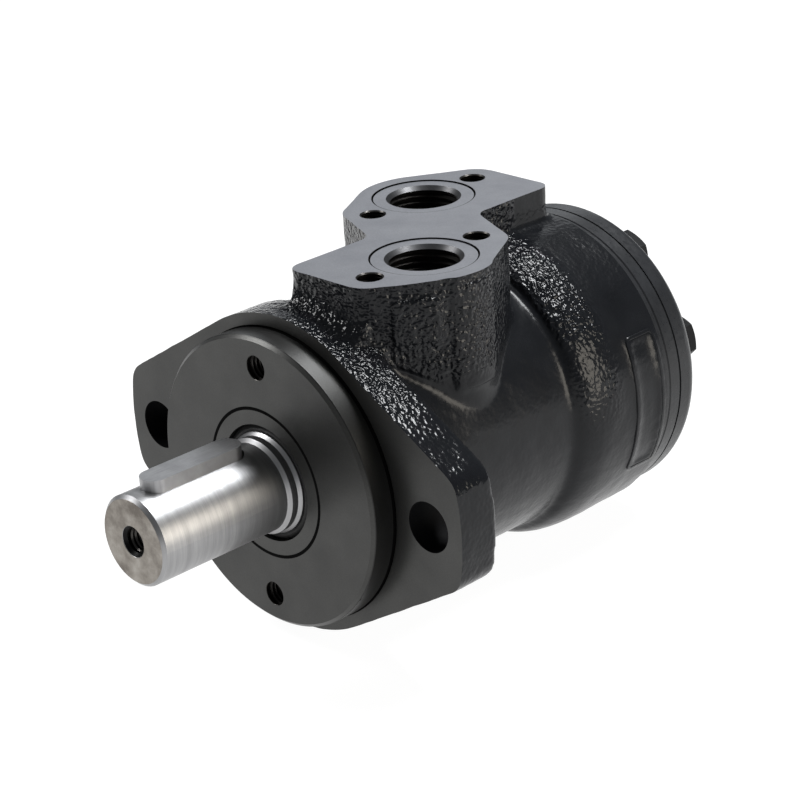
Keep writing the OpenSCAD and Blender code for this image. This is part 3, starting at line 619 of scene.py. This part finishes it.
def finish_at(x, y, z, normal):
    """The name of the casting's finish at a place, in millimetres."""
    radius = math.hypot(x, z)
    from_tap = math.hypot(x, abs(z) - TAP_Z)
    from_port = min(math.hypot(x - px, y - py) for px, py in PORTS)
    from_fix = min(math.hypot(x - px, abs(y - py) - FIX_PITCH / 2) for px, py in PORTS)
    level = abs(normal.z)
    below = PORT_Z - z
    if normal.y < -0.9999 and abs(y - FRONT_Y) < 0.01:
        return "machined"
    # Painted shade in the undercut at the pilot's root.
    if abs(y) < 1.0 and abs(radius - PILOT_R) < 0.6 and (y > 0.02 or radius < PILOT_R - 0.05):
        return "groove shade"
    # Painted shade on the walls of the flange holes.
    if math.hypot(abs(x) - HOLE_X, z) < FLANGE_HOLE_R + 0.05 and y > 0.01:
        return "flange hole shade"
    if y < 0.55 and radius < PILOT_R + 1.025 and from_tap >= SCREW_R + 0.1 or abs(y) < 0.01:
        return "machined"
    if y < FRONT_Y + TAP_DEPTH + 3 and from_tap < SCREW_R + 0.2:
        return "bore"
    # Painted shade on the thin ring and step round each spot face, outside the spot face itself.
    in_spot = from_port < SPOT_R - 0.01 and below < 0.5 and level > 0.9
    if 0.01 < below < 0.8 and SPOT_R - 0.35 < from_port < SPOT_R + 0.3 and not in_spot:
        return "groove shade"
    if below < 0.35 and level > 0.95:
        return "port face"
    if from_port < PORT_R + 1.6 and below < 1.6 and 0.3 < level < 0.95:
        return "port mouth"
    if below < PORT_DEPTH + 3 and (from_port < THREAD_R + 0.1 or from_fix < SCREW_R + 0.2):
        return "bore"
    if radius < BORE_PLUG_R - 0.6:
        return "bore"
    return "tail" if y > HOUSING_L - LAND - 0.05 else "cast"


def sort_faces(piece):
    """Gives each face of the casting its finish, by where it lies."""
    piece.data.materials.clear()
    for finish in casting_finishes.values():
        piece.data.materials.append(finish)
    for face in piece.data.polygons:
        face.material_index = finish_order.index(finish_at(*(face.center / MM), face.normal))


def shade_machined(piece):
    """Lets no slope run from one surface of the casting into another."""
    smooth_shading(piece, 28)
    bm = bmesh.new()
    bm.from_mesh(piece.data)

    def kind(face):
        if finish_order[face.material_index] == "cast":
            return "cast"
        return "flat" if max(abs(c) for c in face.normal) > 0.99995 else "turned"

    kinds = {face: kind(face) for face in bm.faces}
    for edge in bm.edges:
        if len({kinds[face] for face in edge.link_faces}) > 1:
            edge.smooth = False
    bm.to_mesh(piece.data)
    bm.free()
    exact_normals(piece.data)


def exact_normals(mesh):
    """Gives the machined planes, and the surfaces turned about the shaft, their exact normals."""
    planes = ((1, (0.0, FRONT_Y), Vector((0, -1, 0))), (1, (HOUSING_L,), Vector((0, 1, 0))),
              (2, (PORT_Z, PORT_Z - SPOT_DEPTH), Vector((0, 0, 1))))
    normals = [corner.vector.copy() for corner in mesh.corner_normals]
    for face in mesh.polygons:
        spots = [mesh.vertices[k].co / MM for k in face.vertices]
        flat = [normal for axis, levels, normal in planes
                if any(all(abs(p[axis] - level) < 0.002 for p in spots) for level in levels)]
        radial = Vector((face.center.x, 0, face.center.z)).normalized()
        outward, along = face.normal.dot(radial), face.normal.y
        if flat:
            for k in face.loop_indices:
                normals[k] = flat[0]
        elif finish_order[face.material_index] in ("machined", "tail") and outward ** 2 + along ** 2 > 0.995:
            for k, spot in zip(face.loop_indices, spots):
                normals[k] = Vector((spot.x, 0, spot.z)).normalized() * outward + Vector((0, along, 0))
    mesh.normals_split_custom_set(normals)


casting = rough_casting()
remesh(casting, VOXEL)
relax(casting, RELAX_ROUNDS)
unevenness(casting, UNEVEN_DEPTH, UNEVEN_GRAIN)
boolean(casting, machining_tool(), "DIFFERENCE")
heal(casting)
sort_faces(casting)
shade_machined(casting)
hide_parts("housing")
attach(casting, "root")


# Finer things that the construction leaves plain

def swept(name, sections, finish, body, closed=False):
    """Joins sections of equally many points, in millimetres, into one solid."""
    bm = bmesh.new()
    rings = [[bm.verts.new(p) for p in section] for section in sections]
    count = len(rings[0])
    pairs = list(zip(rings, rings[1:] + rings[:1])) if closed else list(zip(rings, rings[1:]))
    for near, far in pairs:
        for k in range(count):
            bm.faces.new((near[k], near[(k + 1) % count], far[(k + 1) % count], far[k]))
    if not closed:
        bm.faces.new(rings[0])
        bm.faces.new(rings[-1])
    bmesh.ops.recalc_face_normals(bm, faces=bm.faces)
    piece = new_object(name, bm)
    smooth_shading(piece)
    piece.data.materials.append(finish)
    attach(piece, body)


def thread(name, base, along, length, outer, crest, pitch, finish, body, steps=48):
    """The helical ridge of a tapped hole, from a point on its axis and along it."""
    turn = Vector(along).to_track_quat("Z", "Y").to_matrix()
    sections = []
    count = int(length / pitch * steps)
    for k in range(count + 1):
        angle = math.tau * k / steps
        rise = length * k / count
        lead = min(1.0, k / (steps / 3), (count - k) / (steps / 3))
        inner = outer - (outer - crest) * lead
        half = pitch * 0.42
        profile = ((outer + 0.12, -half), (inner, -half * 0.2), (inner, half * 0.2), (outer + 0.12, half))
        sections.append([Vector(base) + turn @ Vector((r * math.cos(angle), r * math.sin(angle), rise + h))
                         for r, h in profile])
    swept(name, sections, finish, body)


for k, (x, y) in enumerate(PORTS):
    thread(f"port_thread_{k + 1}", (x, y, PORT_Z - PORT_DEPTH + 0.9), (0, 0, 1), PORT_DEPTH - 2.4,
           THREAD_R, PORT_R, PIPE_PITCH, bore_metal, "root", 72)
    for s in (-1, 1):
        thread(f"fixing_thread_{k + 1}_{s + 1}", (x, y + s * FIX_PITCH / 2, PORT_Z - FIX_DEPTH + 0.7),
               (0, 0, 1), FIX_DEPTH - 1.6, SCREW_R, FIX_R, SCREW_PITCH, bore_metal, "root")
for s in (-1, 1):
    thread(f"pilot_thread_{s + 1}", (0, FRONT_Y + 1.0, s * TAP_Z), (0, 1, 0), TAP_DEPTH - 2,
           SCREW_R, FIX_R, SCREW_PITCH, bore_metal, "root")
thread("shaft_thread", (0, SHAFT_END_Y + 1.3, 0), (0, 1, 0), END_TAP_DEPTH - 3,
       FIX_R - 0.12, 3.05, SCREW_PITCH, bore_metal, "shaft")


def rounded_rectangle(width, height, corner, spacing, steps=6):
    """Points round a rectangle with round corners, about its middle."""
    points = []
    for quarter in range(4):
        across = (1, -1, -1, 1)[quarter] * (width / 2 - corner)
        up = (1, 1, -1, -1)[quarter] * (height / 2 - corner)
        for k in range(steps + 1):
            angle = math.radians(90 * (quarter + k / steps))
            points.append((across + corner * math.cos(angle), up + corner * math.sin(angle)))
    dense = []
    for (a0, b0), (a1, b1) in zip(points, points[1:] + points[:1]):
        pieces = max(1, int(math.hypot(a1 - a0, b1 - b0) / spacing))
        dense += [(a0 + (a1 - a0) * k / pieces, b0 + (b1 - b0) * k / pieces) for k in range(pieces)]
    return dense


def pad(name, width, height, corner, place):
    """A cast pad with a soft edge. Place turns (across, up, out) into a point of the motor."""
    dense = rounded_rectangle(width, height, corner, 0.98)
    bm = bmesh.new()
    rings = []
    for inset, out in ((0, -1.2), (0, PAD_H - 0.7), (0.25, PAD_H - 0.25), (0.8, PAD_H), (1.8, PAD_H),
                       (3.2, PAD_H), (4.8, PAD_H)):
        ka, kb = 1 - 2 * inset / width, 1 - 2 * inset / height
        rings.append([bm.verts.new(place(a * ka, b * kb, out)) for a, b in dense])
    for near, far in zip(rings, rings[1:]):
        for k in range(len(near)):
            m = (k + 1) % len(near)
            bm.faces.new((near[k], near[m], far[m], far[k]))
    bm.faces.new(rings[0])
    bm.faces.new(rings[-1])
    bmesh.ops.recalc_face_normals(bm, faces=bm.faces)
    piece = new_object(name, bm)
    smooth_shading(piece, 40)
    piece.data.materials.append(paint)
    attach(piece, "root")


def flat_wall(across, up, out):
    """On the flat wall of the port block, between its front nose and its round wall."""
    lean = math.asin((LOBE_R - NOSE_R) / (FIX_PITCH / 2))
    normal = Vector((math.cos(lean), -math.sin(lean), 0))
    along = Vector((math.sin(lean), math.cos(lean), 0))
    x, y = PORTS[0]
    middle = Vector((x, y - FIX_PITCH / 2, PORT_Z - WALL_PAD_DROP)) + along * WALL_PAD_BACK
    return middle + along * across + normal * (NOSE_R + out) + Vector((0, 0, up))


def round_wall(across, up, out):
    """On the round wall of the port block, beside the front port."""
    angle = across / LOBE_R
    sunk = 0.4 * min(1.0, max(0.0, (-across - 3) / 3))
    r = LOBE_R + out - sunk
    x, y = PORTS[0]
    return Vector((x + r * math.cos(angle), y + r * math.sin(angle), PORT_Z - WALL_PANEL_DROP + up))


def side_frame():
    """The raised frame on the side of the bulge, as a soft cast ridge."""
    low_angle, high_angle, low_y, high_y = -27, 25, 91.5, 102.3
    width = math.radians(high_angle - low_angle) * BULGE_R
    places = []
    for across, along in rounded_rectangle(width, high_y - low_y, 1.6, 1.5):
        angle = math.radians((low_angle + high_angle) / 2) + across / BULGE_R
        y = (low_y + high_y) / 2 + along
        r = BULGE_R - 0.2 * min(1.0, max(0.0, (y - 89) / 7))
        places.append(Vector((r * math.cos(angle), y, r * math.sin(angle))))
    profile = ((-0.7, -0.6), (-0.55, 0.4), (-0.35, RIDGE_H), (0.35, RIDGE_H), (0.55, 0.4), (0.7, -0.6))
    sections = []
    for k, here in enumerate(places):
        ahead = (places[(k + 1) % len(places)] - places[k - 1]).normalized()
        out = Vector((here.x, 0, here.z)).normalized()
        side = ahead.cross(out)
        sections.append([here + side * w + out * h for w, h in profile])
    swept("side_frame", sections, paint, "root", closed=True)


def carrier_line():
    """A near-black ring set in the joint round the seal carrier: painted shade for the gap."""
    inner, outer, front, back = 20.5, 21.42, FRONT_Y - 0.02, FRONT_Y + 0.3
    bm = bmesh.new()
    turned(bm, [(inner, front), (outer, front), (outer, back), (inner, back)], 128)
    bmesh.ops.recalc_face_normals(bm, faces=bm.faces)
    gap_shade_ring = new_object("carrier_gap_shade", bm)
    gap_shade_ring.data.materials.append(painted_gap_shade)
    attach(gap_shade_ring, "root")


side_frame()
pad("wall_pad", 13.4, 12.6, 1.6, flat_wall)
pad("wall_panel", 14.2, 29.6, 3.0, round_wall)
carrier_line()


# Floor, light and camera

def floor():
    """A plain white floor under the lowest point of the motor."""
    bm = bmesh.new()
    bmesh.ops.create_grid(bm, x_segments=1, y_segments=1, size=2500)
    piece = new_object("floor", bm)
    piece.data.transform(Matrix.Translation((0, 0, FLOOR_Z * MM)))
    white = material("floor_white", Base_Color=(0.12, 0.12, 0.12), Roughness=0.9,
                     Emission_Color=(1, 1, 1), Emission_Strength=0.96)[0]
    piece.data.materials.append(white)


def area_light(name, direction, distance, size, radiance, tint=(1, 1, 1)):
    """A soft rectangular light in a direction from the motor, its long side level."""
    data = bpy.data.lights.new(name, "AREA")
    data.shape = "RECTANGLE"
    data.size, data.size_y = size
    data.energy = radiance * math.pi * size[0] * size[1]
    data.color = tint
    lamp = bpy.data.objects.new(name, data)
    lamp.visible_camera = False
    middle = Vector((0, 45, 0)) * MM
    lamp.location = middle + Vector(direction).normalized() * distance
    lamp.rotation_euler = (middle - lamp.location).to_track_quat("-Z", "Y").to_euler()
    bpy.context.scene.collection.objects.link(lamp)


def camera():
    """The photograph's view: azimuth, elevation, roll, distance and lens solved from it."""
    azimuth, elevation, roll = (math.radians(a) for a in (46.67, 22.78, -3.54))
    distance, right_shift, up_shift = 663.8, 31.29, 17.69
    focal_pixels, image_pixels, sensor = 2478.1, 800, 36.0
    back = Vector((math.sin(azimuth) * math.cos(elevation),
                   -math.cos(azimuth) * math.cos(elevation), math.sin(elevation)))
    right = Vector((math.cos(azimuth), math.sin(azimuth), 0))
    up = back.cross(right)
    side = right * math.cos(roll) + up * math.sin(roll)
    top = -right * math.sin(roll) + up * math.cos(roll)
    place = back * distance + right * right_shift + up * up_shift
    data = bpy.data.cameras.new("camera")
    data.sensor_width = sensor
    data.lens = focal_pixels / image_pixels * sensor
    data.clip_start, data.clip_end = 0.05, 50
    eye = bpy.data.objects.new("camera", data)
    eye.matrix_world = Matrix((
        (side.x, top.x, back.x, place.x * MM), (side.y, top.y, back.y, place.y * MM),
        (side.z, top.z, back.z, place.z * MM), (0, 0, 0, 1)))
    bpy.context.scene.collection.objects.link(eye)
    bpy.context.scene.camera = eye


def dim_room():
    """The faint bluish light of the room round the lamps."""
    world = bpy.data.worlds.new("studio")
    world.use_nodes = True
    background = world.node_tree.nodes["Background"]
    background.inputs["Color"].default_value = (0.92, 0.96, 1.0, 1)
    background.inputs["Strength"].default_value = 0.16
    bpy.context.scene.world = world
    bpy.context.scene.view_settings.view_transform = "Standard"


floor()
dim_room()
area_light("top_light", (0.10, 0.40, 0.90), 0.85, (0.60, 0.16), 32, (0.97, 0.985, 1.0))
area_light("side_light", (0.93, 0.28, 0.20), 0.9, (0.40, 0.46), 6.3, (1.0, 0.93, 0.82))
area_light("front_light", (-0.65, -0.40, 0.65), 1.0, (0.30, 0.26), 16.0)
area_light("back_light", (-0.67, 0.63, 0.39), 1.3, (0.8, 0.5), 0.85, (0.94, 0.97, 1.0))
camera()
